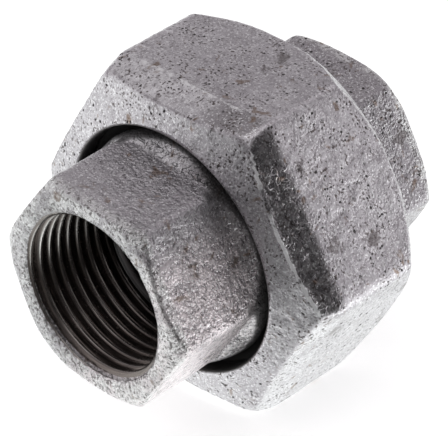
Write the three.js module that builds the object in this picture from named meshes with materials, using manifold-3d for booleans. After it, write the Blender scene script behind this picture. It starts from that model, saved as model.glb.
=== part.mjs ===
// A malleable-iron pipe union for three-quarter-inch pipe.
//
// Four pieces share one axis, Y. The tail end is at -Y, the head end at +Y, and the union nut holds
// the tail end's collar against the head end with a flat gasket between them. Units are millimetres.
// The origin is on the axis, half way between the two end faces, and the nut's top flat is level.

import * as THREE from 'three';
import { mergeVertices } from 'three/addons/utils/BufferGeometryUtils.js';
import Module from 'manifold-3d';

const wasm = await Module();
wasm.setup();

// Driving dimensions ---------------------------------------------------------------------------

const overallLength = 52;
const cos30 = Math.cos(Math.PI / 6);

// Pipe thread in both sockets: three-quarter inch, 14 threads per inch, parallel.
const pipeThread = { pitch: 1.814, crest: 12.06, root: 13.22, rootFlat: 0.3, depth: 15.5 };
const countersink = { mouth: 14.0, depth: 1.9 };
const waterway = 13.4;

// Union thread between the nut and the head end: 11 threads per inch. A clearance is left on each side.
const unionThread = { pitch: 2.309, minor: 20.7, major: 22.15, crestFlat: 0.35 };
const threadClearance = { radial: 0.15, flank: 0.14 };
const threadMouth = 1.4;

// Both threads have flanks of a 55 degree V and run out over part of a turn. A thread's bar also runs
// on under the surface that it joins.
const flankSlope = Math.tan(THREE.MathUtils.degToRad(27.5));
const runOut = { inside: 0.5, mouth: 0.25 };
const barRootDepth = 0.3;
const barThinnest = 0.02;

// Hexagon grips of the two end pieces. Past its length a grip's corners are turned down to its neck.
const tailGrip = { flats: 31, turnDeg: 4.4, length: 12.4, neckRadius: 17.6 };
const headGrip = { flats: 31.4, turnDeg: -3.1, length: 12.2, neckRadius: 16.2 };
const gripCorner = 1.4;
const gripEndChamfer = 1.6;
const gripBackChamfer = 1.2;
const gripRim = 0.2;

// Union nut. The front face falls back by faceSlope for each millimetre outward from its opening, and
// facetSlope is how fast the facets behind it widen.
const nut = {
  flats: 48.9,
  corner: 2.0,
  front: -10.5,
  back: 12.5,
  wallBack: -7.2,
  opening: 19.0,
  openingBevel: 0.5,
  faceSlope: 0.32,
  faceFlats: 45.6,
  facetSlope: 0.28,
  faceCorner: 26.0,
  backRim: 24.7,
  relief: 22.6,
  reliefLength: 2.2,
};

// Joint between the two end pieces. From flare.start the tail end's flats widen by flare.slope for each
// millimetre along the axis, until they meet its round neck.
const flare = { start: 14.8, slope: 1.0 };
const neckInset = 0.3;
const collar = { radius: 20.4, back: -6.9, seat: -2.2, bevel: 0.5 };
const seatGap = 0.15;
const gasket = { inner: 14.2, outer: 19.4, thickness: 2.0 };
const headSeat = collar.seat + gasket.thickness + 2 * seatGap;
const headShoulder = { threadEnd: 12.0, coneEnd: 15.2, leadIn: 1.0 };

// Facets around a full turn.
const roundFacets = 48;
const pipeThreadFacets = 24;
const unionThreadFacets = 32;
const cornerFacets = 3;

// How far a cutting or trimming solid runs past the surface it works on.
const overrun = 1;

// Solids -----------------------------------------------------------------------------------------

// Turns a closed geometry into a solid that can be joined and cut.
function solid(geometry) {
  geometry.deleteAttribute('normal');
  geometry.deleteAttribute('uv');
  const welded = mergeVertices(geometry, 1e-4);
  const corners = Array.from(welded.index.array);
  const faces = [];
  for (let i = 0; i < corners.length; i += 3) {
    const [a, b, c] = corners.slice(i, i + 3);
    if (a !== b && b !== c && c !== a) faces.push(a, b, c);
  }
  return new wasm.Manifold(new wasm.Mesh({
    numProp: 3,
    vertProperties: new Float32Array(welded.attributes.position.array),
    triVerts: new Uint32Array(faces),
  }));
}

function geometryOf(shape) {
  const mesh = shape.getMesh();
  const geometry = new THREE.BufferGeometry();
  geometry.setAttribute('position', new THREE.BufferAttribute(mesh.vertProperties, 3));
  geometry.setIndex(new THREE.BufferAttribute(mesh.triVerts, 1));
  geometry.computeVertexNormals();
  return geometry;
}

// A solid of revolution about Y. The outline is a list of [radius, y], outside going up.
function turned(outline, facets = roundFacets) {
  const points = outline.map(([radius, y]) => new THREE.Vector2(radius, y));
  return solid(new THREE.LatheGeometry(points, facets));
}

// A hexagon bar along Y with rounded corners, one corner on +X before it is turned.
function hexBar(flats, cornerRadius, low, high, turnDeg = 0) {
  const shape = new THREE.Shape();
  const centreDistance = (flats / 2 - cornerRadius) / cos30;
  for (let k = 0; k < 6; k += 1) {
    const angle = (k * Math.PI) / 3;
    const x = centreDistance * Math.cos(angle);
    const y = centreDistance * Math.sin(angle);
    shape.absarc(x, y, cornerRadius, angle - Math.PI / 6, angle + Math.PI / 6, false);
  }
  const bar = new THREE.ExtrudeGeometry(shape, {
    depth: high - low,
    bevelEnabled: false,
    curveSegments: cornerFacets,
  });
  bar.rotateX(-Math.PI / 2);
  bar.rotateY(THREE.MathUtils.degToRad(turnDeg));
  bar.translate(0, low, 0);
  return solid(bar);
}

// A hexagon bar along Y with sharp corners, whose flats widen evenly from low to high.
function hexTaper(lowApothem, highApothem, low, high, turnDeg = 0) {
  const bar = new THREE.CylinderGeometry(highApothem / cos30, lowApothem / cos30, high - low, 6);
  bar.rotateY(Math.PI / 6 + THREE.MathUtils.degToRad(turnDeg));
  bar.translate(0, (low + high) / 2, 0);
  return solid(bar);
}

// A right-handed helical bar of trapezoid section. Its middle is at y = datum + pitch * turn, and
// its outer face sinks to the inner radius over fade turns at each end that fades.
function helicalBar({ pitch, datum, from, to, inner, outer, innerWidth, outerWidth, facets, fade }) {
  const firstStep = Math.round(from * facets);
  const steps = Math.round(to * facets) - firstStep;
  const positions = [];
  const indices = [];
  for (let i = 0; i <= steps; i += 1) {
    const turn = (firstStep + i) / facets;
    const angle = 2 * Math.PI * turn;
    const middle = datum + pitch * turn;
    const startShare = fade.start ? Math.min(1, i / facets / fade.start) : 1;
    const endShare = fade.end ? Math.min(1, (steps - i) / facets / fade.end) : 1;
    const share = Math.max(barThinnest, Math.min(startShare, endShare));
    const crest = inner + (outer - inner) * share;
    const crestWidth = innerWidth + (outerWidth - innerWidth) * share;
    const section = [
      [inner, -innerWidth / 2],
      [crest, -crestWidth / 2],
      [crest, crestWidth / 2],
      [inner, innerWidth / 2],
    ];
    for (const [radius, offset] of section) {
      positions.push(radius * Math.sin(angle), middle + offset, radius * Math.cos(angle));
    }
  }
  const addQuad = (a, b, c, d) => indices.push(a, b, c, a, c, d);
  for (let i = 0; i < steps; i += 1) {
    for (let side = 0; side < 4; side += 1) {
      const next = (side + 1) % 4;
      const row = 4 * i;
      addQuad(row + side, row + 4 + side, row + 4 + next, row + next);
    }
  }
  const last = 4 * steps;
  addQuad(0, 1, 2, 3);
  addQuad(last + 3, last + 2, last + 1, last);
  const geometry = new THREE.BufferGeometry();
  geometry.setAttribute('position', new THREE.Float32BufferAttribute(positions, 3));
  geometry.setIndex(indices);
  return solid(geometry);
}

// Sockets ------------------------------------------------------------------------------------------

// The space inside a threaded socket whose mouth is at y = 0 and that opens into the waterway.
function socketSpace(farEnd) {
  const { pitch, crest, root, rootFlat, depth } = pipeThread;
  const bore = turned([
    [0, -overrun],
    [countersink.mouth + overrun, -overrun],
    [countersink.mouth, 0],
    [crest, countersink.depth],
    [crest, depth],
    [waterway, depth + (waterway - crest)],
    [waterway, farEnd + overrun],
    [0, farEnd + overrun],
  ], pipeThreadFacets);
  const inner = crest - barRootDepth;
  const groove = helicalBar({
    pitch,
    datum: 0,
    from: -1,
    to: depth / pitch,
    inner,
    outer: root,
    innerWidth: rootFlat + 2 * (root - inner) * flankSlope,
    outerWidth: rootFlat,
    facets: pipeThreadFacets,
    fade: { start: 0, end: runOut.inside },
  });
  return bore.add(groove);
}

// A hexagon grip from y = 0, chamfered to a circle at both ends, with its neck going on to neckEnd.
function gripBlank(grip, neckEnd) {
  const apothem = grip.flats / 2;
  const corner = apothem / cos30;
  const chamfered = turned([
    [0, 0],
    [apothem + gripRim, 0],
    [corner + gripRim, gripEndChamfer],
    [corner + gripRim, grip.length - gripBackChamfer],
    [grip.neckRadius, grip.length + gripBackChamfer],
    [grip.neckRadius, neckEnd],
    [0, neckEnd],
  ]);
  const hexagon = hexBar(grip.flats, gripCorner, -overrun, neckEnd + overrun, grip.turnDeg);
  return hexagon.intersect(chamfered);
}

// The part of the tail end's neck where the flats flare out to a full circle, as far as neckEnd.
function flaredNeck(neckEnd) {
  const low = flare.start - overrun;
  const high = neckEnd + overrun;
  const lowApothem = tailGrip.flats / 2 - flare.slope * overrun;
  const highApothem = lowApothem + flare.slope * (high - low);
  const round = turned([
    [0, low],
    [tailGrip.neckRadius, low],
    [tailGrip.neckRadius, neckEnd],
    [0, neckEnd],
  ]);
  return hexTaper(lowApothem, highApothem, low, high, tailGrip.turnDeg).intersect(round);
}

// Pieces -------------------------------------------------------------------------------------------

// Its own frame has the pipe's end face at y = 0 and the collar at the top.
function tailEndGeometry() {
  const seat = collar.seat + overallLength / 2;
  const collarBack = collar.back + overallLength / 2;
  const neckRadius = tailGrip.neckRadius;
  const ring = turned([
    [0, collarBack - overrun],
    [neckRadius - neckInset, collarBack - overrun],
    [neckRadius + neckInset, collarBack],
    [collar.radius - collar.bevel, collarBack],
    [collar.radius, collarBack + collar.bevel],
    [collar.radius, seat - collar.bevel],
    [collar.radius - collar.bevel, seat],
    [0, seat],
  ]);
  const body = gripBlank(tailGrip, collarBack).add(flaredNeck(collarBack)).add(ring);
  return geometryOf(body.subtract(socketSpace(seat)));
}

// Its own frame has the pipe's end face at y = 0 and the union thread at the top.
function headEndGeometry() {
  const { pitch, minor, major, crestFlat } = unionThread;
  const middle = overallLength / 2;
  const seat = middle - headSeat;
  const root = minor - threadClearance.radial;
  const crest = major - threadClearance.radial;
  const inner = root - barRootDepth;
  const spigot = turned([
    [0, middle - headShoulder.coneEnd],
    [headGrip.neckRadius, middle - headShoulder.coneEnd],
    [root, middle - headShoulder.threadEnd],
    [root, seat - headShoulder.leadIn],
    [root - headShoulder.leadIn, seat],
    [0, seat],
  ], unionThreadFacets);
  const ridge = helicalBar({
    pitch,
    datum: middle,
    from: -headShoulder.threadEnd / pitch,
    to: -(headSeat + pitch / 2) / pitch,
    inner,
    outer: crest,
    innerWidth: crestFlat + 2 * (crest - inner) * flankSlope,
    outerWidth: crestFlat,
    facets: unionThreadFacets,
    fade: { start: runOut.inside, end: runOut.mouth },
  });
  const body = gripBlank(headGrip, middle - headShoulder.threadEnd).add(spigot).add(ridge);
  return geometryOf(body.subtract(socketSpace(seat)));
}

// The outside of the nut: a hexagon with a shallow cone for its face, sloping front facets, and corners
// that are turned off at 45 degrees at both ends.
function nutBlank() {
  const corner = nut.flats / 2 / cos30;
  const faceInner = nut.opening + nut.openingBevel;
  const faceCornerHeight = nut.front + nut.faceSlope * (nut.faceCorner - faceInner);
  const backRise = corner - nut.backRim;
  const length = nut.back - nut.front;
  const hexagon = hexBar(nut.flats, nut.corner, nut.front - overrun, nut.back + overrun);
  const frontApothem = nut.faceFlats / 2;
  const backApothem = frontApothem + nut.facetSlope * length;
  const facets = hexTaper(frontApothem, backApothem, nut.front, nut.back);
  const envelope = turned([
    [0, nut.front],
    [faceInner, nut.front],
    [nut.faceCorner, faceCornerHeight],
    [corner, faceCornerHeight + corner - nut.faceCorner],
    [corner, nut.back - backRise],
    [nut.backRim, nut.back],
    [0, nut.back],
  ]);
  return hexagon.intersect(facets).intersect(envelope);
}

function unionNutGeometry() {
  const { pitch, minor, major, crestFlat } = unionThread;
  const crest = minor + threadClearance.radial;
  const root = major + threadClearance.radial;
  const rootFlat = crestFlat - 4 * threadClearance.radial * flankSlope + 2 * threadClearance.flank;
  const inner = crest - barRootDepth;
  const reliefEnd = nut.wallBack + nut.reliefLength;
  const space = turned([
    [0, nut.front - overrun],
    [nut.opening + nut.openingBevel + overrun, nut.front - overrun],
    [nut.opening + nut.openingBevel, nut.front],
    [nut.opening, nut.front + nut.openingBevel],
    [nut.opening, nut.wallBack],
    [nut.relief, nut.wallBack],
    [nut.relief, reliefEnd],
    [crest, reliefEnd + nut.relief - crest],
    [crest, nut.back - threadMouth],
    [crest + threadMouth, nut.back],
    [crest + threadMouth + overrun, nut.back + overrun],
    [0, nut.back + overrun],
  ], unionThreadFacets);
  const groove = helicalBar({
    pitch,
    datum: 0,
    from: reliefEnd / pitch,
    to: nut.back / pitch + 1,
    inner,
    outer: root,
    innerWidth: rootFlat + 2 * (root - inner) * flankSlope,
    outerWidth: rootFlat,
    facets: unionThreadFacets,
    fade: { start: 0, end: 0 },
  });
  return geometryOf(nutBlank().subtract(space.add(groove)));
}

function gasketGeometry() {
  const half = gasket.thickness / 2;
  return geometryOf(turned([
    [gasket.inner, -half],
    [gasket.outer, -half],
    [gasket.outer, half],
    [gasket.inner, half],
    [gasket.inner, -half],
  ]));
}

// Materials ----------------------------------------------------------------------------------------

function zinc(color) {
  return new THREE.MeshStandardMaterial({ color, roughness: 0.5, metalness: 0.8 });
}

const fibre = new THREE.MeshStandardMaterial({ color: 0x2b2a29, roughness: 0.85, metalness: 0 });

// Assembly -----------------------------------------------------------------------------------------

function piece(name, geometry, material, y) {
  const mesh = new THREE.Mesh(geometry, material);
  mesh.name = name;
  mesh.position.y = y;
  return mesh;
}

const tailEnd = piece('tail_end', tailEndGeometry(), zinc(0x8a868c), -overallLength / 2);
const unionNut = piece('union_nut', unionNutGeometry(), zinc(0x96929a), 0);
const headEnd = piece('head_end', headEndGeometry(), zinc(0x8a868e), overallLength / 2);
headEnd.rotation.z = Math.PI;
const flatGasket = piece('flat_gasket', gasketGeometry(), fibre, collar.seat + seatGap + gasket.thickness / 2);

const pipeUnion = new THREE.Group();
pipeUnion.add(tailEnd, unionNut, headEnd, flatGasket);

export default pipeUnion;
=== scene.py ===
"""Looks for a galvanised malleable-iron pipe union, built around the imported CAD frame.

The four pieces are remade as fine closed meshes in place of the faceted CAD nodes: cast hexagons with
rounded edges and a grainy skin, and cut threads that follow the same helices as the CAD solids.
Lengths in the shape code are millimetres. A piece's axis is Y, and the angle round it starts at +Z and
turns towards +X, so a right-handed thread climbs along +Y as the angle grows.
"""

import math

import bmesh
import bpy
import numpy as np
from mathutils import Matrix, Vector


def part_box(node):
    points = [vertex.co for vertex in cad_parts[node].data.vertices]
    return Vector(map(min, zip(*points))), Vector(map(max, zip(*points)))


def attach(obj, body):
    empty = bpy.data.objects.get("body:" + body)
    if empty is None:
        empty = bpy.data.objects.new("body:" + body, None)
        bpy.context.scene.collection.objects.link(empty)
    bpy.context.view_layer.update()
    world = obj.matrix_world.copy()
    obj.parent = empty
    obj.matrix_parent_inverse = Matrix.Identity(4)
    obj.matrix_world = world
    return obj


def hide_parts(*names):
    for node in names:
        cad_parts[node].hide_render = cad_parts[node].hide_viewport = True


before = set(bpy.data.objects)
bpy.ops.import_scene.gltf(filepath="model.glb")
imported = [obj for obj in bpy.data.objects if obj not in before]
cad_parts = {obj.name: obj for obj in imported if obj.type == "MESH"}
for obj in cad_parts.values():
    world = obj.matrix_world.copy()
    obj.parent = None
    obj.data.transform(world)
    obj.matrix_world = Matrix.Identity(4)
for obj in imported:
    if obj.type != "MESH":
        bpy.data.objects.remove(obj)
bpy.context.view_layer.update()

# Sizes ------------------------------------------------------------------------------------------------

MM = 0.001
TURN = 2 * math.pi
COS30 = math.cos(math.pi / 6)


def node_box(node):
    """A CAD node's lowest and highest corners in millimetres."""
    low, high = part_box(node)
    return np.array(low) / MM, np.array(high) / MM


tail_low, tail_high = node_box("tail_end")
head_low, head_high = node_box("head_end")
nut_low, nut_high = node_box("union_nut")
gasket_low, gasket_high = node_box("flat_gasket")

# A thread's flat and flank are shares of half its pitch. Its groove fades out over run_out from its end.
PIPE_THREAD = {
    "pitch": 1.814,
    "crest": 12.06,
    "root": 13.22,
    "depth": 15.5,
    "flat": 0.169,
    "flank": 0.666,
    "run_out": (0.05, 1.2),
}
UNION_THREAD = {
    "pitch": 2.309,
    "minor": 20.7,
    "major": 22.15,
    "clearance": 0.15,
    "male_flat": 0.15,
    "male_flank": 0.655,
    "female_flat": 0.138,
    "female_flank": 0.654,
    "run_out": (0.05, 1.3),
}
LIP = {"mouth": 14.0, "depth": 1.9, "zinc": 12.7}
WATERWAY = {"radius": 13.4, "bevel": 0.3}

# A grip's flats, turned from the nut's by turn degrees, with a groove across the end of the flat at crease.
TAIL_GRIP = {"flats": 31.0, "turn": 4.4, "length": 12.4, "neck": 17.6, "crease": 60}
HEAD_GRIP = {"flats": 31.4, "turn": -3.1, "length": 12.2, "neck": 16.2, "crease": 180}
GRIP_END_CHAMFER = 1.6
GRIP_BACK_CHAMFER = 1.2
GRIP_RIM = 0.2
GROOVE_WIDTH = 0.3
FLARE = {"start": 14.8, "slope": 1.0}

COLLAR = {"radius": tail_high[0], "back": -6.9, "seat": tail_high[1], "fillet": 0.6, "bevel": 0.5}
SHOULDER = {"thread_end": 12.0, "cone_end": 15.2, "lead_in": 1.0}

NUT = {
    "front": nut_low[1],
    "back": nut_high[1],
    "flats": nut_high[2] - nut_low[2],
    "wall_back": -7.2,
    "opening": 19.0,
    "opening_bevel": 0.5,
    "opening_back_bevel": 0.3,
    "face_slope": 0.32,
    "face_flats": 45.6,
    "facet_slope": 0.28,
    "face_corner": 26.0,
    "back_rim": 24.7,
    "relief": 22.6,
    "relief_end": -5.0,
    "mouth": 22.45,
    "beaded_side": 62,
}
NUT_FACE_INNER = NUT["opening"] + NUT["opening_bevel"]

GASKET = {"bore": 14.2, "bevel": 0.25}

# Powers that combine faces into one solid: the higher the power, the tighter the edge where they meet.
SHARPNESS = {
    "grip_sides": 48,
    "grip_end": 75,
    "flare": 180,
    "grip_back": 90,
    "shoulder": 110,
    "nut_sides": 62,
    "nut_ends": 260,
}

# A cast skin's relief in layers of (height, wavelength), its pits, the height of a worn bead along an edge,
# and the gasket's share of all that.
SKIN_LAYERS = [(0.070, 8.0), (0.035, 3.1), (0.030, 1.5), (0.026, 0.8)]
PIT = {"depth": 0.13, "wavelength": 1.3, "patch": 9.0}
BEAD = 0.13
SHEET_RELIEF = 0.25

# Mesh resolution: columns round a turn, points across a thread, and the distance between rows.
COLUMNS = {"grip": 320, "nut": 480, "gasket": 192}
THREAD_POINTS = 12
SKIN_STEP = 0.36
TURNED_STEP = 0.8
WATERWAY_STEP = 1.2
GASKET_STEP = 0.5
WELD = 0.002


# Noise ------------------------------------------------------------------------------------------------

def lattice_value(cell, seed):
    """A repeatable pseudo-random number from 0 to 1 for each whole-numbered cell."""
    x, y, z = (cell[:, k].astype(np.int64) for k in range(3))
    mixed = x * 374761393 + y * 668265263 + z * 1440662683 + seed * 1274126177
    mixed = (mixed ^ (mixed >> 13)) & 0xFFFFFFFF
    mixed = (mixed * 1103515245 + 12345) & 0xFFFFFFFF
    mixed = (mixed ^ (mixed >> 15)) * 2246822519 & 0xFFFFFFFF
    return ((mixed ^ (mixed >> 16)) & 0xFFFF) / 65535.0


def noise(points, wavelength, seed):
    """Smooth value noise from -1 to 1 at points in millimetres."""
    scaled = points / wavelength
    cell = np.floor(scaled)
    part = scaled - cell
    ease = part * part * (3 - 2 * part)
    total = np.zeros(len(points))
    for corner in range(8):
        step = np.array([corner & 1, corner >> 1 & 1, corner >> 2 & 1])
        weight = np.prod(np.where(step, ease, 1 - ease), axis=1)
        total += weight * lattice_value(cell + step, seed)
    return 2 * total - 1


def smoothstep(low, high, value):
    """0 where a value is on the low side, rising smoothly to 1 on the high side. low may be over high."""
    share = np.clip((value - low) / (high - low), 0, 1)
    return share * share * (3 - 2 * share)


# Closed meshes from rings and threads -------------------------------------------------------------------

def angles_of(columns):
    """One turn's angles, evenly spaced."""
    return np.arange(columns) * TURN / columns


def walk(corners, step):
    """Points along a line of straight stretches through (radius, y) corners, at most step apart."""
    points = [corners[0]]
    for start, end in zip(corners, corners[1:]):
        count = max(1, math.ceil(math.dist(start, end) / step))
        for k in range(1, count + 1):
            share = k / count
            points.append((start[0] + (end[0] - start[0]) * share, start[1] + (end[1] - start[1]) * share))
    return np.array(points)


def round_rings(corners, step, columns):
    """Rings of a surface of revolution, as (radius, y) arrays of rows by columns."""
    points = walk(corners, step)
    radius = np.repeat(points[:, :1], columns, axis=1)
    height = np.repeat(points[:, 1:], columns, axis=1)
    return radius, height


class Skin:
    """Collects patches of one closed surface, each with columns round a turn, and welds them into a mesh."""

    def __init__(self, columns):
        self.columns = columns
        self.points = []
        self.faces = []
        self.count = 0

    def place(self, radius, height, column):
        angle = column * TURN / self.columns
        placed = np.stack([radius * np.sin(angle), height, radius * np.cos(angle)], axis=-1).reshape(-1, 3)
        self.points.append(placed)
        self.count += len(placed)

    def add_rings(self, rings):
        radius, height = rings
        base = self.count
        rows, columns = radius.shape
        self.place(radius, height, np.arange(columns)[None, :].repeat(rows, axis=0))
        row, column = np.meshgrid(np.arange(rows - 1), np.arange(columns), indexing="ij")
        beside = (column + 1) % columns
        lower = row * columns
        upper = lower + columns
        quads = [lower + column, lower + beside, upper + beside, upper + column]
        self.faces.append(base + np.stack(quads, axis=-1).reshape(-1, 4))

    def add_thread(self, pitch, datum, low, high, radius_at):
        """A helical band from the circle at low to the circle at high. radius_at(wave, y) gives the radius,
        where wave goes from 0 on the thread's middle line to 1 half way to the next turn."""
        columns = self.columns
        first = math.floor((low - datum) / pitch) - 2
        turns = math.ceil((high - datum) / pitch) + 1 - first
        index = np.arange((turns + 1) * columns + 1)
        phase = np.arange(THREAD_POINTS) / THREAD_POINTS
        height = datum + pitch * (first + index[:, None] / columns + phase[None, :])
        wave = np.repeat(1 - np.abs(2 * phase - 1)[None, :], len(index), axis=0)
        height = np.clip(height, low, high)
        base = self.count
        column = np.repeat(index[:, None] % columns, THREAD_POINTS, axis=1)
        self.place(radius_at(wave, height), height, column)
        step, point = np.meshgrid(np.arange(turns * columns), np.arange(THREAD_POINTS), indexing="ij")
        here = step * THREAD_POINTS + point
        above = np.where(point + 1 < THREAD_POINTS, here + 1, (step + columns) * THREAD_POINTS)
        quads = [here, here + THREAD_POINTS, above + THREAD_POINTS, above]
        self.faces.append(base + np.stack(quads, axis=-1).reshape(-1, 4))

    def mesh(self, name):
        points = np.concatenate(self.points) * MM
        faces = np.concatenate(self.faces)
        used, renumbered = np.unique(faces, return_inverse=True)
        mesh = bpy.data.meshes.new(name)
        mesh.from_pydata(points[used].tolist(), [], renumbered.reshape(-1, 4).tolist())
        work = bmesh.new()
        work.from_mesh(mesh)
        bmesh.ops.remove_doubles(work, verts=work.verts, dist=WELD * MM)
        bmesh.ops.recalc_face_normals(work, faces=work.faces)
        work.to_mesh(mesh)
        work.free()
        return mesh


def coordinates(mesh):
    """The mesh's points in millimetres."""
    flat = np.zeros(len(mesh.vertices) * 3)
    mesh.vertices.foreach_get("co", flat)
    return flat.reshape(-1, 3) / MM


def normals(mesh):
    flat = np.zeros(len(mesh.vertices) * 3)
    mesh.vertex_normals.foreach_get("vector", flat)
    return flat.reshape(-1, 3)


# Rounded solids -----------------------------------------------------------------------------------------
#
# A solid is the set of faces that bound it. A point's share of a face is 1 on the face and less inside it, so
# a guide point divided by its largest share lands on the solid. Shares are combined by a high power, which
# rounds the edges.

def blend_most(shares, sharpness):
    """The largest of the shares, rounded where two are nearly equal."""
    stacked = np.maximum(np.stack(shares), 1e-6)
    top = stacked.max(axis=0)
    return top * ((stacked / top) ** sharpness).sum(axis=0) ** (1 / sharpness)


def blend_least(lengths, sharpness):
    """The smallest of the lengths, rounded where two are nearly equal."""
    return 1 / blend_most([1 / np.maximum(length, 1) for length in lengths], sharpness)


def side_cosines(angle, turn_deg):
    """Cosines of the angles between a direction round the axis and a hexagon's six sides."""
    turns = np.radians(turn_deg + 60 * np.arange(6))
    return [np.cos(angle - turn) for turn in turns]


def grip_outline(grip, angle):
    """The radius of a hexagon with rounded corners, before its ends are chamfered."""
    share = blend_most(side_cosines(angle, grip["turn"]), SHARPNESS["grip_sides"])
    return grip["flats"] / 2 / share


# Cast skin ----------------------------------------------------------------------------------------------

def cast_relief(points, seed):
    """How far a cast and galvanised surface stands proud of its true shape, in millimetres."""
    relief = np.zeros(len(points))
    for layer, (height, wavelength) in enumerate(SKIN_LAYERS):
        relief += height * noise(points, wavelength, seed + layer)
    pits = smoothstep(0.45, 0.8, noise(points, PIT["wavelength"], seed + len(SKIN_LAYERS)))
    patches = smoothstep(-0.2, 0.5, noise(points, PIT["patch"], seed + len(SKIN_LAYERS) + 1))
    return relief - PIT["depth"] * (pits * patches)


def edge_share(distances, width):
    """One where a surface passes from one face to another, given its signed distances from the faces."""
    ordered = np.sort(np.stack(distances), axis=0)
    return 1 - smoothstep(0.3 * width, width, ordered[-1] - ordered[-2])


def roughen(mesh, masks_at, seed):
    """Moves the cast part of a mesh along its normals, and stores the masks for the material.

    masks_at(radius, y, angle) gives cast, the share of cast skin; edge, positive on a bead along an edge and
    negative in a groove, which the material paints bright on the bead as partly wear and partly painted
    highlight, and dark in the groove as painted shade; rim, the frosted band by an end face; ripple, where
    the zinc ran in ripples; and the black mask, the share of painted black shade in gaps and hollows. A mask
    that is left out counts as nought in the material."""
    points = coordinates(mesh)
    radius = np.hypot(points[:, 0], points[:, 2])
    masks = masks_at(radius, points[:, 1], np.arctan2(points[:, 0], points[:, 2]))
    height = cast_relief(points, seed) + BEAD * masks["edge"]
    moved = points + normals(mesh) * (height * masks["cast"])[:, None]
    mesh.vertices.foreach_set("co", (moved * MM).ravel())
    for name, value in masks.items():
        attribute = mesh.attributes.new(name, "FLOAT", "POINT")
        attribute.data.foreach_set("value", value.astype(np.float32))
    mesh.update()


def finish_piece(name, mesh, material, body):
    """Puts a mesh in the scene in place of the CAD node called name, riding on its body."""
    piece = bpy.data.objects.new(name + "_skin", mesh)
    bpy.context.scene.collection.objects.link(piece)
    mesh.materials.append(material)
    mesh.polygons.foreach_set("use_smooth", [True] * len(mesh.polygons))
    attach(piece, body)
    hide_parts(name)


# End pieces, in a frame with the pipe's end face at y = 0 ---------------------------------------------------

def grip_end_rings(grip, columns):
    """Rings from the mouth of the socket's lip, over the end face, to the middle of the flats."""
    middle = grip["length"] / 2
    apothem = grip["flats"] / 2
    corner = apothem / COS30
    slope = (corner - apothem) / GRIP_END_CHAMFER
    guide = walk([(LIP["mouth"], 0), (apothem, 0), (apothem + 0.9, 0.8), (apothem + 1, middle)], SKIN_STEP)
    outward = guide[:, :1]
    along = guide[:, 1:] - middle
    angle = angles_of(columns)[None, :]
    sides = blend_most(side_cosines(angle, grip["turn"]), SHARPNESS["grip_sides"])
    shares = [
        outward * sides / apothem,
        -along / middle + 0 * angle,
        (outward - slope * along) / (apothem + GRIP_RIM + slope * middle) + 0 * angle,
    ]
    size = blend_most(shares, SHARPNESS["grip_end"])
    radius, height = outward / size, middle + along / size
    radius[0], height[0] = LIP["mouth"], 0
    radius[-1], height[-1] = grip_outline(grip, angle), middle
    return radius, height


def grip_back_rows(grip, neck_end):
    """Heights from the middle of a grip's flats to the end of its neck."""
    middle = grip["length"] / 2
    return np.linspace(middle, neck_end, math.ceil((neck_end - middle) / SKIN_STEP) + 1)[:, None]


def turned_corners(grip, rows, angle):
    """The radius that a grip's corners are turned down to, going over to its neck."""
    top = grip["flats"] / 2 / COS30 + GRIP_RIM
    fall = (top - grip["neck"]) / (2 * GRIP_BACK_CHAMFER)
    return np.maximum(top - fall * (rows - grip["length"] + GRIP_BACK_CHAMFER), grip["neck"]) + 0 * angle


def tail_neck_rings(columns, neck_end):
    """Rings from the middle of the tail end's flats, over the flare at their back, and on to a round neck."""
    angle = angles_of(columns)[None, :]
    rows = grip_back_rows(TAIL_GRIP, neck_end)
    hexagon = grip_outline(TAIL_GRIP, angle)
    sides = np.max(side_cosines(angle, TAIL_GRIP["turn"]), axis=0)
    flare = (TAIL_GRIP["flats"] / 2 + FLARE["slope"] * (rows - FLARE["start"])) / sides
    widened = blend_most([hexagon + 0 * rows, flare], SHARPNESS["flare"])
    radius = blend_least([widened, turned_corners(TAIL_GRIP, rows, angle)], SHARPNESS["grip_back"])
    radius[0] = hexagon
    radius[-1] = TAIL_GRIP["neck"]
    return radius, rows + 0 * hexagon


def head_shoulder_rings(columns, cone_start, cone_end, cone_radius):
    """Rings from the middle of the head end's flats, over its neck and a cone up to the thread's root."""
    angle = angles_of(columns)[None, :]
    rows = grip_back_rows(HEAD_GRIP, cone_end)
    hexagon = grip_outline(HEAD_GRIP, angle)
    slope = (cone_radius - HEAD_GRIP["neck"]) / (cone_end - cone_start)
    cone = HEAD_GRIP["neck"] + slope * (rows - cone_start) + 0 * angle
    grip = blend_least([hexagon + 0 * rows, turned_corners(HEAD_GRIP, rows, angle)], SHARPNESS["grip_back"])
    radius = blend_most([grip, cone], SHARPNESS["shoulder"])
    radius[0] = hexagon
    radius[-1] = cone_radius
    return radius, rows + 0 * hexagon


def socket_radius(wave, height):
    """The radius of the pipe thread's wall, with its run-out and the rounded lip at its mouth."""
    crest = PIPE_THREAD["crest"]
    groove = np.clip((wave - PIPE_THREAD["flat"]) / PIPE_THREAD["flank"], 0, 1)
    fade_end, fade_start = (PIPE_THREAD["depth"] - gap for gap in PIPE_THREAD["run_out"])
    fade = smoothstep(fade_end, fade_start, height)
    thread = crest + (PIPE_THREAD["root"] - crest) * groove * fade
    inward = 1 - np.clip(height / LIP["depth"], 0, 1)
    lip = 1 - np.sqrt(np.maximum(1 - inward ** 2, 0))
    return np.maximum(thread, crest + (LIP["mouth"] - crest) * lip)


def add_socket(skin, seat):
    """The waterway from the seat, and the threaded socket down to the mouth."""
    pitch = PIPE_THREAD["pitch"]
    depth = PIPE_THREAD["depth"]
    crest = PIPE_THREAD["crest"]
    skin.add_rings(round_rings([
        (WATERWAY["radius"], seat),
        (WATERWAY["radius"], depth + WATERWAY["radius"] - crest),
        (crest, depth),
    ], WATERWAY_STEP, skin.columns))
    skin.add_thread(pitch, pitch / 2, 0.0, depth, socket_radius)


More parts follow.
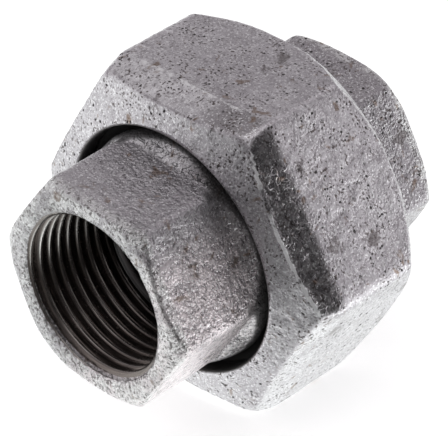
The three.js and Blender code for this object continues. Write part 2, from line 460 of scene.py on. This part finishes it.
def tail_mesh():
    skin = Skin(COLUMNS["grip"])
    start = tail_low[1]
    back = COLLAR["back"] - start
    seat = COLLAR["seat"] - start
    radius, bevel = COLLAR["radius"], COLLAR["bevel"]
    neck_end = back - COLLAR["fillet"]
    skin.add_rings(grip_end_rings(TAIL_GRIP, skin.columns))
    skin.add_rings(tail_neck_rings(skin.columns, neck_end))
    skin.add_rings(round_rings([
        (TAIL_GRIP["neck"], neck_end),
        (TAIL_GRIP["neck"] + COLLAR["fillet"], back),
        (radius - bevel, back),
        (radius, back + bevel),
        (radius, seat - bevel),
        (radius - bevel, seat),
        (WATERWAY["radius"] + WATERWAY["bevel"], seat),
        (WATERWAY["radius"], seat - WATERWAY["bevel"]),
    ], TURNED_STEP, skin.columns))
    add_socket(skin, seat - WATERWAY["bevel"])
    return skin.mesh("tail_end_skin")


def male_thread(seat):
    """The head end's thread, as its root radius, its lowest y and its radius_at function."""
    clearance = UNION_THREAD["clearance"]
    root = UNION_THREAD["minor"] - clearance
    crest = UNION_THREAD["major"] - clearance
    start = head_high[1] - SHOULDER["thread_end"]

    def radius_at(wave, height):
        ridge = 1 - np.clip((wave - UNION_THREAD["male_flat"]) / UNION_THREAD["male_flank"], 0, 1)
        fade_start, fade_end = (start + gap for gap in UNION_THREAD["run_out"])
        fade = smoothstep(fade_start, fade_end, height)
        lead = root - SHOULDER["lead_in"] + (seat - height)
        return np.minimum(root + (crest - root) * ridge * fade, lead)

    return root, start, radius_at


def head_mesh():
    skin = Skin(COLUMNS["grip"])
    middle = head_high[1]
    seat = middle - head_low[1]
    root, start, radius_at = male_thread(seat)
    cone_start = middle - SHOULDER["cone_end"]
    skin.add_rings(grip_end_rings(HEAD_GRIP, skin.columns))
    skin.add_rings(head_shoulder_rings(skin.columns, cone_start, start, root))
    skin.add_thread(UNION_THREAD["pitch"], middle, start, seat, radius_at)
    skin.add_rings(round_rings([
        (root - SHOULDER["lead_in"], seat),
        (WATERWAY["radius"] + WATERWAY["bevel"], seat),
        (WATERWAY["radius"], seat - WATERWAY["bevel"]),
    ], TURNED_STEP, skin.columns))
    add_socket(skin, seat - WATERWAY["bevel"])
    return skin.mesh("head_end_skin")


def grip_masks(grip, machined_from, rippled_from, black_shade_from=None):
    """Masks for an end piece that is cut, not cast, past machined_from. Its zinc is rippled past rippled_from
    and, where a start for the black is given, painted black as shade past that and at the grip's turned
    corners, in the gap by the nut."""
    apothem = grip["flats"] / 2
    corner = apothem / COS30
    end_slope = (corner - apothem) / GRIP_END_CHAMFER

    # Painted shade: black along the neck past the given start and, in part, on the turned corners, where the
    # gap by the nut lies in shadow.
    def black_shade_at(radius, height):
        if black_shade_from is None:
            return 0 * radius
        corners = smoothstep(grip["neck"] - 0.45, grip["neck"] - 0.15, radius)
        corners = 0.8 * corners * smoothstep(grip["length"] + 0.4, grip["length"] + 1.4, height)
        return np.maximum(smoothstep(black_shade_from, black_shade_from + 0.8, height), corners)

    def masks_at(radius, height, angle):
        sides = np.max(side_cosines(angle, grip["turn"]), axis=0)
        flat = radius * sides - apothem
        end_cone = (radius - apothem - GRIP_RIM - end_slope * height) / math.hypot(1, end_slope)
        crease = np.cos(angle - math.radians(grip["turn"] + grip["crease"]))
        groove = edge_share([flat, end_cone], GROOVE_WIDTH) * smoothstep(0.875, 0.90, crease)
        groove = groove * smoothstep(1.8, 0.9, height)
        lip = smoothstep(LIP["depth"] - 0.3, LIP["depth"] - 0.9, height)
        outside = smoothstep(LIP["zinc"], LIP["zinc"] + 0.35, radius)
        outside = outside * np.maximum(lip, smoothstep(LIP["mouth"] - 0.1, LIP["mouth"], radius))
        return {
            "cast": outside * smoothstep(machined_from, machined_from - 0.8, height),
            "edge": -groove * outside,
            "rim": smoothstep(2.2, 1.2, height) * outside,
            "ripple": smoothstep(rippled_from, rippled_from + 0.4, height) * outside,
            # Painted shade: black on the neck and turned corners in the gap by the nut.
            "black_shade": black_shade_at(radius, height) * outside,
        }
    return masks_at


def build_tail(material):
    mesh = tail_mesh()
    flare_end = FLARE["start"] + (TAIL_GRIP["neck"] - TAIL_GRIP["flats"] / 2) / FLARE["slope"]
    roughen(mesh, grip_masks(
        TAIL_GRIP,
        machined_from=COLLAR["back"] - tail_low[1] - 0.3,
        rippled_from=FLARE["start"] - 0.2,
        # The painted black shade starts just past the flare.
        black_shade_from=flare_end + 0.2,
    ), seed=11)
    mesh.transform(Matrix.Translation((0, tail_low[1] * MM, 0)))
    finish_piece("tail_end", mesh, material, "tail")


def build_head(material):
    mesh = head_mesh()
    thread_start = head_high[1] - SHOULDER["thread_end"]
    roughen(mesh, grip_masks(
        HEAD_GRIP,
        machined_from=thread_start,
        rippled_from=HEAD_GRIP["length"],
    ), seed=31)
    mesh.transform(Matrix.Translation((0, head_high[1] * MM, 0)) @ Matrix.Rotation(math.pi, 4, "Z"))
    finish_piece("head_end", mesh, material, "head")


# Union nut ------------------------------------------------------------------------------------------------

def nut_hull_rings(columns):
    """Rings over the cast outside of the nut, from the front opening to the mouth of its thread."""
    front, back = NUT["front"], NUT["back"]
    middle = (front + back) / 2
    apothem = NUT["flats"] / 2
    face_apothem = NUT["face_flats"] / 2
    slope = NUT["facet_slope"]
    face_slope = NUT["face_slope"]
    face_corner = NUT["face_corner"] - face_slope * (NUT["face_corner"] - NUT_FACE_INNER)
    guide = walk([
        (NUT_FACE_INNER, front),
        (face_apothem + 0.8, front + face_slope * (face_apothem + 0.8 - NUT_FACE_INNER)),
        (apothem + 1, front + 5.0),
        (apothem + 1.5, back - 3.0),
        (NUT["back_rim"], back),
        (NUT["mouth"], back),
    ], SKIN_STEP)
    outward = guide[:, :1]
    along = guide[:, 1:] - middle
    angle = angles_of(columns)[None, :]
    sides = blend_most(side_cosines(angle, 0), SHARPNESS["nut_sides"])
    half = (back - front) / 2
    shares = [
        outward * sides / apothem,
        (outward * sides - slope * along) / (face_apothem + slope * half),
        (face_slope * outward - along) / (face_slope * NUT_FACE_INNER + half) + 0 * angle,
        along / half + 0 * angle,
        (outward - along) / (face_corner + half) + 0 * angle,
        (outward + along) / (NUT["back_rim"] + half) + 0 * angle,
    ]
    size = blend_most(shares, SHARPNESS["nut_ends"])
    radius, height = outward / size, middle + along / size
    radius[0], height[0] = NUT_FACE_INNER, front
    radius[-1], height[-1] = NUT["mouth"], back
    return radius, height


def female_thread_radius(wave, height):
    """The radius of the nut's threaded wall, with the cones at its mouth and into its relief."""
    crest = UNION_THREAD["minor"] + UNION_THREAD["clearance"]
    root = UNION_THREAD["major"] + UNION_THREAD["clearance"]
    groove = 1 - np.clip((wave - UNION_THREAD["female_flat"]) / UNION_THREAD["female_flank"], 0, 1)
    mouth = NUT["mouth"] - (NUT["back"] - height)
    relief = NUT["relief"] - (height - NUT["relief_end"])
    return np.maximum(np.maximum(crest + (root - crest) * groove, mouth), relief)


def nut_mesh():
    skin = Skin(COLUMNS["nut"])
    skin.add_rings(nut_hull_rings(skin.columns))
    skin.add_thread(UNION_THREAD["pitch"], 0.0, NUT["relief_end"], NUT["back"], female_thread_radius)
    opening, bevel, back_bevel = NUT["opening"], NUT["opening_bevel"], NUT["opening_back_bevel"]
    skin.add_rings(round_rings([
        (NUT["relief"], NUT["relief_end"]),
        (NUT["relief"], NUT["wall_back"]),
        (opening + back_bevel, NUT["wall_back"]),
        (opening, NUT["wall_back"] - back_bevel),
        (opening, NUT["front"] + bevel),
        (opening + 0.3 * bevel, NUT["front"] + 0.3 * bevel),
        (NUT_FACE_INNER, NUT["front"]),
    ], TURNED_STEP, skin.columns))
    return skin.mesh("union_nut_skin")


def nut_masks(radius, height, angle):
    """Masks for the nut: rippled zinc on its facets, beads made bright along one side and on top as partly
    wear and partly painted highlight, and painted black shade inside it.
    """
    front, back = NUT["front"], NUT["back"]
    sides = np.max(side_cosines(angle, 0), axis=0)
    flat = radius * sides - NUT["flats"] / 2
    facet = radius * sides - NUT["face_flats"] / 2 - NUT["facet_slope"] * (height - front)
    facet /= math.hypot(1, NUT["facet_slope"])
    face = NUT["face_slope"] * (radius - NUT_FACE_INNER) - height + front
    face /= math.hypot(1, NUT["face_slope"])
    back_cone = (radius + height - NUT["back_rim"] - back) / math.sqrt(2)
    on_face = smoothstep(NUT["opening"] + 0.05, NUT["opening"] + 0.5, radius) * smoothstep(-0.7, -0.2, face)
    outside = np.maximum(on_face, smoothstep(NUT["mouth"], NUT["mouth"] + 0.8, radius))
    bead = np.maximum(edge_share([facet, face], 0.36), edge_share([flat, back_cone], 0.24))
    bead = bead * smoothstep(NUT["mouth"] + 0.2, NUT["mouth"] + 0.6, radius)
    bead = bead * smoothstep(-0.6, -0.3, np.maximum(face, back_cone))
    # Beads are strongest on one side, where their bright line is partly wear and partly painted highlight.
    beaded_side = smoothstep(0.82, 0.93, np.cos(angle - math.radians(NUT["beaded_side"])))
    # A bright line along the top ridge, partly wear and partly painted highlight.
    ridge = edge_share([flat, facet], 0.16) * smoothstep(0.88, 0.94, np.cos(angle))
    return {
        "cast": outside,
        "edge": np.maximum(bead * (0.15 + 0.85 * beaded_side), 0.45 * ridge * outside),
        "rim": 0 * radius,
        "ripple": smoothstep(-0.22, -0.05, facet) * smoothstep(-0.05, -0.3, face) * outside,
        # Painted shade: all of the nut that is not cast skin, the wall of its opening and its thread, is
        # painted black as the shadow inside it.
        "black_shade": 1 - outside,
    }


def build_nut(material):
    mesh = nut_mesh()
    roughen(mesh, nut_masks, seed=51)
    finish_piece("union_nut", mesh, material, "nut")


# Gasket ---------------------------------------------------------------------------------------------------

def gasket_masks(radius, height, angle):
    """Rolled sheet is smoother than a casting, so it takes only a share of the relief."""
    return {"cast": SHEET_RELIEF + 0 * radius, "edge": 0 * radius}


def build_gasket(material):
    skin = Skin(COLUMNS["gasket"])
    inner, outer = GASKET["bore"], gasket_high[0]
    low, high = gasket_low[1], gasket_high[1]
    bevel = GASKET["bevel"]
    skin.add_rings(round_rings([
        (inner, low + bevel),
        (inner + bevel, low),
        (outer - bevel, low),
        (outer, low + bevel),
        (outer, high - bevel),
        (outer - bevel, high),
        (inner + bevel, high),
        (inner, high - bevel),
        (inner, low + bevel),
    ], GASKET_STEP, skin.columns))
    mesh = skin.mesh("flat_gasket_skin")
    roughen(mesh, gasket_masks, seed=71)
    finish_piece("flat_gasket", mesh, material, "gasket")


# Shader nodes -----------------------------------------------------------------------------------------------

class Shader:
    """A node material, with short ways to add and join its nodes. place is the position in millimetres."""

    def __init__(self, name):
        self.material = bpy.data.materials.new(name)
        self.material.use_nodes = True
        self.tree = self.material.node_tree
        self.surface = self.tree.nodes["Principled BSDF"]
        place = self.node("TexCoord").outputs["Object"]
        self.place = self.vector_math("MULTIPLY", place, (1 / MM, 1 / MM, 1 / MM))

    def node(self, kind, inputs=None, **settings):
        node = self.tree.nodes.new("ShaderNode" + kind)
        for name, value in settings.items():
            setattr(node, name, value)
        for name, value in (inputs or {}).items():
            self.feed(node.inputs[name], value)
        return node

    def feed(self, socket, value):
        if isinstance(value, bpy.types.NodeSocket):
            self.tree.links.new(value, socket)
        else:
            socket.default_value = value

    def look(self, name, value):
        """Sets one of the surface's own inputs."""
        self.feed(self.surface.inputs[name], value)

    def mask(self, name):
        """A mask that roughen stored on the mesh."""
        return self.node("Attribute", attribute_name=name).outputs["Fac"]

    def vector_math(self, operation, first, second=(0, 0, 0), output="Vector"):
        node = self.node("VectorMath", operation=operation)
        self.feed(node.inputs[0], first)
        self.feed(node.inputs[1], second)
        return node.outputs[output]

    def math(self, operation, first, second=0.0):
        node = self.node("Math", operation=operation)
        self.feed(node.inputs[0], first)
        self.feed(node.inputs[1], second)
        return node.outputs[0]

    def product(self, value, *factors):
        for factor in factors:
            value = self.math("MULTIPLY", value, factor)
        return value

    def total(self, value, *others):
        for other in others:
            value = self.math("ADD", value, other)
        return value

    def swing(self, value, reach):
        """A value from 0 to 1 turned into one about zero, with a whole width of reach."""
        return self.product(self.math("SUBTRACT", value, 0.5), reach)

    def moved(self, offset):
        return self.vector_math("ADD", self.place, (offset, 0.7 * offset, -offset))

    def noise(self, wavelength, detail=3.0, roughness=0.55, distortion=0.0, offset=0.0):
        """Noise from about 0 to 1 whose largest features are wavelength millimetres apart."""
        inputs = {
            "Vector": self.moved(offset),
            "Scale": 1 / wavelength,
            "Detail": detail,
            "Roughness": roughness,
            "Distortion": distortion,
        }
        return self.node("TexNoise", inputs).outputs[0]

    def spots(self, wavelength, size, share, offset, ragged):
        """Spots in a share of the cells of a random grid, with cells wavelength millimetres apart and a
        spot's radius size of that."""
        cells = self.node("TexVoronoi", {"Vector": self.moved(offset), "Scale": 1 / wavelength}).outputs
        near = self.step(self.total(cells["Distance"], ragged), 0.5 * size, size, 1.0, 0.0)
        chance = self.node("SeparateXYZ", {"Vector": cells["Color"]}).outputs["X"]
        return self.product(near, self.math("LESS_THAN", chance, share))

    def step(self, value, low, high, to_low=0.0, to_high=1.0):
        """to_low where a value is below low, rising smoothly to to_high where it is above high."""
        inputs = {"Value": value, "From Min": low, "From Max": high, "To Min": to_low, "To Max": to_high}
        return self.node("MapRange", inputs, interpolation_type="SMOOTHSTEP").outputs["Result"]

    def mix(self, share, first, second):
        """A colour that goes from first to second as share goes from 0 to 1."""
        node = self.node("Mix", data_type="RGBA")
        self.feed(node.inputs[0], share)
        self.feed(node.inputs[6], rgba(first))
        self.feed(node.inputs[7], rgba(second))
        return node.outputs[2]

    def mix_value(self, share, first, second):
        """A number that goes from first to second as share goes from 0 to 1."""
        node = self.node("Mix", data_type="FLOAT")
        self.feed(node.inputs[0], share)
        self.feed(node.inputs[2], first)
        self.feed(node.inputs[3], second)
        return node.outputs[0]

    def bump(self, height, strength, distance):
        inputs = {"Height": height, "Strength": strength, "Distance": distance * MM}
        return self.node("Bump", inputs).outputs["Normal"]


def rgba(colour):
    if isinstance(colour, bpy.types.NodeSocket):
        return colour
    return (*colour, 1.0)


# Materials --------------------------------------------------------------------------------------------------

ZINC_LIGHT = (0.60, 0.575, 0.605)
ZINC_MID = (0.52, 0.495, 0.525)
ZINC_DARK = (0.36, 0.335, 0.36)
# The next colour is painted light: the pale colour given to a piece's right and lower side.
ZINC_LIT = (0.94, 0.84, 0.87)
# The next colour is painted shade, for ripples on the right from the middle up.
ZINC_SHADED = (0.20, 0.185, 0.19)
ZINC_OXIDE = (0.90, 0.895, 0.90)
ZINC_BRIGHT = (0.92, 0.91, 0.93)
SPECK = (0.055, 0.048, 0.048)
DOT = (0.14, 0.12, 0.12)
RUST = (0.20, 0.13, 0.09)
# The next colour is painted shade: black for the gap by the nut, the nut's inside and the deep waterway,
# where shadow falls.
BLACK_SHADE = (0.012, 0.010, 0.010)
CUT_DARK = (0.072, 0.057, 0.052)
CUT_LIGHT = (0.20, 0.165, 0.15)
CUT_PALE = (0.34, 0.30, 0.28)
# The next colour is a painted highlight for the thread crests.
CUT_CREST_HIGHLIGHT = (0.95, 0.92, 0.90)
FIBRE_DARK = (0.018, 0.018, 0.018)
FIBRE_LIGHT = (0.05, 0.048, 0.045)
FIBRE_STRAND = (0.16, 0.15, 0.13)

# The side that is given painted light, and how turning marks are stretched round the axis and packed along
# it.
LIT_SIDE = (0.8, 0.0, -0.6)
TURNING_MARKS = (0.25, 9.0, 0.25)


class CastShader(Shader):
    """A galvanised casting's material, with the masks and noises that its parts share."""

    def __init__(self, name, offset):
        super().__init__(name)
        self.offset = offset
        self.line = self.mask("edge")
        self.rim = self.mask("rim")
        self.ripple = self.mask("ripple")
        self.black_shade = self.mask("black_shade")
        self.axes = self.node("SeparateXYZ", {"Vector": self.place}).outputs
        self.patch = self.noise(3.4, 4.0, 0.6, 0.4, offset + 3)
        self.mottle = self.noise(1.05, 3.0, 0.6, 0.3, offset + 5)
        self.grain = self.noise(0.50, 2.0, 0.6, 0.0, offset + 9)
        self.grit_and_glint = self.noise(0.30, 1.0, 0.5, 0.0, offset + 14)


def zinc_colour(s, painted_shade, painted_light):
    """Clouded zinc, darkened all over by painted shade, paled by painted light on its right and lower side,
    and with ripples darkened by painted shade on the right from the middle up and lightened by painted light
    elsewhere.
    """
    cloud = s.noise(11.0, 3.0, 0.5, 0.3, s.offset)
    colour = s.mix(s.step(cloud, 0.35, 0.65), ZINC_MID, ZINC_LIGHT)
    # Painted shade: the whole piece's zinc is darkened towards ZINC_DARK.
    colour = s.mix(painted_shade, colour, ZINC_DARK)
    # Painted light: the side towards +X and down is paled, as where the room lights it more.
    lit_side = s.step(s.vector_math("DOT_PRODUCT", s.place, LIT_SIDE, "Value"), 0.0, 8.0)
    colour = s.mix(s.product(lit_side, painted_light), colour, ZINC_LIT)
    # Painted shade on the ripples on the right from the middle up, and painted light on the other ripples.
    shaded_side = s.product(s.step(s.axes["X"], 2.0, 8.0), s.step(s.axes["Z"], -2.5, 0.5))
    colour = s.mix(s.product(shaded_side, s.ripple, 0.7), colour, ZINC_SHADED)
    lit_ripples = s.product(s.ripple, s.math("SUBTRACT", 1.0, shaded_side))
    return s.mix(s.product(lit_ripples, 0.5), colour, ZINC_BRIGHT)


def grained(s, colour):
    """Darker patches, mottling and grain, bright grit that is partly the zinc's own grain and partly painted
    glints, and a frosted, sandy rim.
    """
    colour = s.mix(s.step(s.patch, 0.50, 0.32, 0.0, 0.45), colour, ZINC_DARK)
    colour = s.mix(s.step(s.mottle, 0.55, 0.33, 0.0, 0.50), colour, ZINC_DARK)
    colour = s.mix(s.step(s.grain, 0.48, 0.30, 0.0, 0.65), colour, ZINC_DARK)
    # Bright specks: partly grain of the zinc, partly painted glints.
    colour = s.mix(s.step(s.grit_and_glint, 0.54, 0.68, 0.0, 0.70), colour, ZINC_BRIGHT)
    frosting = s.product(s.rim, s.step(s.patch, 0.32, 0.62, 0.05, 0.75))
    colour = s.mix(frosting, colour, ZINC_OXIDE)
    sand = s.step(s.noise(0.50, 1.0, 0.6, 0.3, s.offset + 25), 0.56, 0.64, 0.0, 0.8)
    return s.mix(s.product(s.rim, sand), colour, DOT)


def pitted(s, pitting):
    """The mask of the small dark pits."""
    spots = s.spots(0.72, 0.32, 0.42, s.offset + 20, s.swing(s.grain, 0.9))
    return s.product(spots, s.step(s.patch, 0.42, 0.56, 0.0, pitting))


def wear_and_highlight_lines(s):
    """The mask of the bright lines along the beads, partly wear and partly painted highlight, broken into
    stretches.
    """
    ragged = s.step(s.total(s.line, s.swing(s.mottle, 0.9)), 0.30, 0.55)
    stretches = s.step(s.noise(3.2, 3.0, 0.6, 0.0, s.offset + 40), 0.30, 0.45)
    return s.product(ragged, stretches)


def marked(s, colour, pits, wear_and_highlight, pitting):
    """Dots, rusty stains, dark blotches, pits, bright lines along edges that are partly wear and partly
    painted highlight, and painted shade in the grooves on the zinc.
    """
    dots = s.step(s.noise(0.36, 0.0, 0.5, 0.0, s.offset + 60), 0.62, 0.70, 0.0, 0.8 * pitting)
    colour = s.mix(s.product(dots, s.step(s.patch, 0.40, 0.58, 0.25, 1.0)), colour, DOT)
    stain = s.step(s.noise(2.6, 3.0, 0.6, 0.5, s.offset + 30), 0.62, 0.70)
    colour = s.mix(s.product(stain, 0.7), colour, RUST)
    blotch = s.spots(5.5, 0.26, 0.40, s.offset + 90, s.swing(s.mottle, 0.9))
    colour = s.mix(s.product(blotch, 0.7 * min(pitting, 1)), colour, DOT)
    colour = s.mix(pits, colour, SPECK)
    # Bright lines along the beads: partly wear, partly painted highlight.
    colour = s.mix(wear_and_highlight, colour, ZINC_BRIGHT)
    # Painted shade: the grooves are darkened as shadow falls in them.
    return s.mix(s.step(s.line, -0.2, -0.7, 0.0, 0.55), colour, SPECK)


def cut_colour(s, rings):
    """Machined iron: dark turning marks, a lip that is paler towards the bottom, painted highlights on the
    thread crests, stronger on the upper side, and painted black shade in the deep waterway.
    """
    colour = s.mix(s.step(rings, 0.35, 0.7), CUT_DARK, CUT_LIGHT)
    along = s.math("ABSOLUTE", s.axes["Y"])
    # The lip is paler towards the bottom.
    lip_paler_below = s.product(s.step(along, 22.0, 26.0, 0.0, 0.5), s.step(s.axes["Z"], -6.0, -12.0, 0.1, 1.0))
    colour = s.mix(lip_paler_below, colour, CUT_PALE)
    # Painted highlight: the thread crests are painted bright, more so on the upper side.
    upper = s.step(s.axes["Z"], -4.0, 3.0)
    pointed = s.total(s.node("NewGeometry").outputs["Pointiness"], s.product(upper, 0.02))
    crest = s.product(s.step(pointed, 0.52, 0.58), s.mix_value(upper, 0.4, 1.0))
    colour = s.mix(crest, colour, CUT_CREST_HIGHLIGHT)
    radius = s.vector_math("LENGTH", s.vector_math("MULTIPLY", s.place, (1, 0, 1)), output="Value")
    # Painted shade: the deep waterway is painted black.
    waterway = s.product(s.step(radius, 15.0, 14.0), s.step(along, 13.0, 10.0, 0.0, 0.95))
    return s.mix(waterway, colour, BLACK_SHADE)


def skin_height(s, pits):
    """The height of the zinc's fine bumps: its grain, the veins of its ripples, and its pits."""
    swirl = s.math("ABSOLUTE", s.math("SUBTRACT", s.noise(3.0, 1.0, 0.6, 1.6, s.offset + 50), 0.5))
    veined = s.mix_value(s.ripple, s.step(s.patch, 0.5, 0.65, 0.0, 0.5), 1.0)
    vein = s.product(s.step(swirl, 0.018, 0.0), veined)
    return s.total(
        s.product(s.mottle, 1.3),
        s.grain,
        s.product(s.grit_and_glint, 0.5),
        s.product(vein, s.mix_value(s.ripple, 0.6, 2.2)),
        s.product(pits, -1.2),
    )


def galvanised(name, offset, relief, metallic, painted_shade, painted_light, pitting):
    """Hot-dip zinc on a cast skin, going over to dark cut iron where the cast share falls to nought.

    offset moves the pattern, relief scales the fine bumps, and pitting scales the dark pits and dots. Of the
    two other numbers, one paints shade by darkening the zinc all over, and the other paints light by paling
    its right and lower side."""
    s = CastShader(name, offset)
    pits = pitted(s, pitting)
    wear_and_highlight = wear_and_highlight_lines(s)
    zinc = marked(s, grained(s, zinc_colour(s, painted_shade, painted_light)), pits, wear_and_highlight, pitting)
    turning = s.vector_math("MULTIPLY", s.place, TURNING_MARKS)
    rings = s.node("TexNoise", {"Vector": turning, "Scale": 1.0, "Detail": 2.0}).outputs[0]
    skin = s.step(s.total(s.mask("cast"), s.swing(s.grain, 0.7)), 0.35, 0.6)
    # Painted shade: the black mask blacks out gaps and hollows over both the zinc and the cut iron.
    s.look("Base Color", s.mix(s.black_shade, s.mix(skin, cut_colour(s, rings), zinc), BLACK_SHADE))

    metal = s.mix_value(s.math("MAXIMUM", pits, wear_and_highlight), metallic, 0.15)
    s.look("Metallic", s.mix_value(s.black_shade, metal, 0.0))

    zinc_roughness = s.mix_value(pits, s.step(s.mottle, 0.3, 0.7, 0.22, 0.38), 0.9)
    roughness = s.mix_value(skin, s.step(rings, 0.3, 0.7, 0.14, 0.26), zinc_roughness)
    s.look("Roughness", s.mix_value(s.black_shade, roughness, 0.75))

    patchy = s.step(s.noise(9.0, 2.0, 0.5, 0.5, offset + 70), 0.42, 0.62, 0.75, 1.6)
    rough_skin = s.product(s.total(patchy, s.product(s.rim, 0.35)), relief)
    s.look("Normal", s.bump(skin_height(s, pits), s.mix_value(skin, 0.03, rough_skin), 0.26))
    return s.material


def fibre(name):
    """Matt black sealing sheet with short pale fibres."""
    s = Shader(name)
    grain = s.noise(0.5, 5.0, 0.7)
    strand = s.step(s.noise(1.1, 6.0, 0.8, 3.0, 4.0), 0.60, 0.66)
    colour = s.mix(grain, FIBRE_DARK, FIBRE_LIGHT)
    s.look("Base Color", s.mix(s.product(strand, 0.35), colour, FIBRE_STRAND))
    s.look("Roughness", s.step(grain, 0.3, 0.7, 0.65, 0.9))
    s.look("Normal", s.bump(grain, 0.5, 0.06))
    return s.material


# In each look, one number darkens the whole piece as painted shade, and one pales its right and lower side as
# painted light.
TAIL_LOOK = {"offset": 0.0, "relief": 0.85, "metallic": 0.74, "painted_shade": 0.45, "painted_light": 1.0, "pitting": 0.35}
HEAD_LOOK = {"offset": 80.0, "relief": 0.60, "metallic": 0.80, "painted_shade": 1.0, "painted_light": 0.0, "pitting": 1.25}
NUT_LOOK = {"offset": 40.0, "relief": 0.19, "metallic": 0.90, "painted_shade": 0.0, "painted_light": 0.0, "pitting": 1.25}

build_tail(galvanised("galvanised_tail", **TAIL_LOOK))
build_head(galvanised("galvanised_head", **HEAD_LOOK))
build_nut(galvanised("galvanised_nut", **NUT_LOOK))
build_gasket(fibre("gasket_fibre"))


# Stage ------------------------------------------------------------------------------------------------------

def link(tree, output, node, name):
    tree.links.new(output, node.inputs[name])


def floor_material():
    """Pale matt paper that only the camera sees, so the room's own light reaches the undersides."""
    material = bpy.data.materials.new("floor")
    material.use_nodes = True
    nodes, tree = material.node_tree.nodes, material.node_tree
    paper = nodes["Principled BSDF"]
    paper.inputs["Base Color"].default_value = (0.92, 0.92, 0.92, 1)
    paper.inputs["Roughness"].default_value = 1.0
    paper.inputs["Specular IOR Level"].default_value = 0.0
    paper.inputs["Emission Color"].default_value = (1, 1, 1, 1)
    paper.inputs["Emission Strength"].default_value = 0.66
    clear = nodes.new("ShaderNodeBsdfTransparent")
    path = nodes.new("ShaderNodeLightPath")
    choice = nodes.new("ShaderNodeMixShader")
    tree.links.new(path.outputs["Is Camera Ray"], choice.inputs[0])
    tree.links.new(clear.outputs[0], choice.inputs[1])
    tree.links.new(paper.outputs[0], choice.inputs[2])
    tree.links.new(choice.outputs[0], nodes["Material Output"].inputs["Surface"])
    return material


def add_floor(height, reach):
    mesh = bpy.data.meshes.new("floor")
    signs = [(-1, -1), (1, -1), (1, 1), (-1, 1)]
    mesh.from_pydata([(x * reach, y * reach, height) for x, y in signs], [], [(0, 1, 2, 3)])
    mesh.materials.append(floor_material())
    floor = bpy.data.objects.new("floor", mesh)
    bpy.context.scene.collection.objects.link(floor)


def direction(azimuth, elevation):
    """The unit vector towards a place seen from the object, with azimuth 0 at -Y and 90 at +X, in degrees."""
    a, e = math.radians(azimuth), math.radians(elevation)
    return Vector((math.sin(a) * math.cos(e), -math.cos(a) * math.cos(e), math.sin(e)))


def add_softbox(name, azimuth, elevation, distance, size, power):
    light = bpy.data.lights.new(name, "AREA")
    light.shape = "SQUARE"
    light.size = size
    light.energy = power
    lamp = bpy.data.objects.new(name, light)
    towards = direction(azimuth, elevation)
    lamp.location = towards * distance
    lamp.rotation_mode = "QUATERNION"
    lamp.rotation_quaternion = towards.to_track_quat("Z", "Y")
    bpy.context.scene.collection.objects.link(lamp)


class Room:
    """The studio's walls as light: one number for each direction."""

    def __init__(self):
        world = bpy.data.worlds.new("studio")
        bpy.context.scene.world = world
        world.use_nodes = True
        self.tree = world.node_tree
        self.background = self.tree.nodes["Background"]
        self.looking = self.tree.nodes.new("ShaderNodeTexCoord").outputs["Generated"]

    def ramp(self, towards, start, end, low, high):
        """Low where the cosine to a direction is under start, rising to high where it is over end."""
        dot = self.tree.nodes.new("ShaderNodeVectorMath")
        dot.operation = "DOT_PRODUCT"
        self.tree.links.new(self.looking, dot.inputs[0])
        dot.inputs[1].default_value = towards
        ramp = self.tree.nodes.new("ShaderNodeMapRange")
        ramp.interpolation_type = "SMOOTHSTEP"
        link(self.tree, dot.outputs["Value"], ramp, "Value")
        for name, value in {"From Min": start, "From Max": end, "To Min": low, "To Max": high}.items():
            ramp.inputs[name].default_value = value
        return ramp.outputs["Result"]

    def tint(self, below, above):
        """The light's colour, going from below to above across the horizon."""
        mix = self.tree.nodes.new("ShaderNodeMix")
        mix.data_type = "RGBA"
        self.tree.links.new(self.ramp(Vector((0, 0, 1)), -0.3, 0.3, 0.0, 1.0), mix.inputs[0])
        mix.inputs[6].default_value = (*below, 1)
        mix.inputs[7].default_value = (*above, 1)
        link(self.tree, mix.outputs[2], self.background, "Color")

    def card(self, azimuth, elevation, inner, outer, level):
        """A soft card that scales the light to level within inner degrees, and leaves it alone past outer."""
        cosines = math.cos(math.radians(outer)), math.cos(math.radians(inner))
        return self.ramp(direction(azimuth, elevation), *cosines, 1.0, level)

    def light(self, *factors):
        value = factors[0]
        for factor in factors[1:]:
            node = self.tree.nodes.new("ShaderNodeMath")
            node.operation = "MULTIPLY"
            self.tree.links.new(value, node.inputs[0])
            self.tree.links.new(factor, node.inputs[1])
            value = node.outputs[0]
        link(self.tree, value, self.background, "Strength")


def add_room():
    """Bright below like a pale table and dimmer above, with dark cards on the right and in front, and pale
    ones behind and on the left."""
    room = Room()
    room.tint(below=(0.97, 1.0, 0.985), above=(1.0, 0.965, 0.985))
    room.light(
        room.ramp(Vector((0, 0, 1)), -0.40, 0.55, 1.30, 0.46),
        room.card(azimuth=72, elevation=12, inner=34, outer=51, level=0.05),
        room.card(azimuth=122, elevation=-22, inner=12, outer=34, level=1.65),
        room.card(azimuth=-100, elevation=52, inner=8, outer=20, level=1.15),
        room.card(azimuth=165, elevation=52, inner=8, outer=22, level=1.7),
        room.card(azimuth=-52, elevation=-32, inner=14, outer=34, level=1.05),
        room.card(azimuth=14, elevation=-12, inner=20, outer=55, level=0.18),
    )


def add_camera(azimuth, elevation, roll, distance, lens, across, up):
    camera = bpy.data.objects.new("camera", bpy.data.cameras.new("camera"))
    bpy.context.scene.collection.objects.link(camera)
    camera.data.lens = lens
    camera.data.sensor_width = 36.0
    back = direction(azimuth, elevation)
    level = back.to_track_quat("Z", "Y").to_matrix()
    turned = level @ Matrix.Rotation(math.radians(roll), 3, "Z")
    camera.rotation_mode = "QUATERNION"
    camera.rotation_quaternion = turned.to_quaternion()
    camera.location = back * distance + turned @ Vector((across, up, 0))
    camera.data.clip_start = 0.01
    camera.data.clip_end = 20
    bpy.context.scene.camera = camera


add_floor(nut_low[2] * MM, reach=3.0)
add_room()
add_softbox("overhead", azimuth=10, elevation=78, distance=1.0, size=0.9, power=1.5)
add_camera(azimuth=44.9, elevation=34.9, roll=-1.5, distance=0.5, lens=282.8, across=0.00047, up=0.00003)
bpy.context.scene.view_settings.view_transform = "Standard"
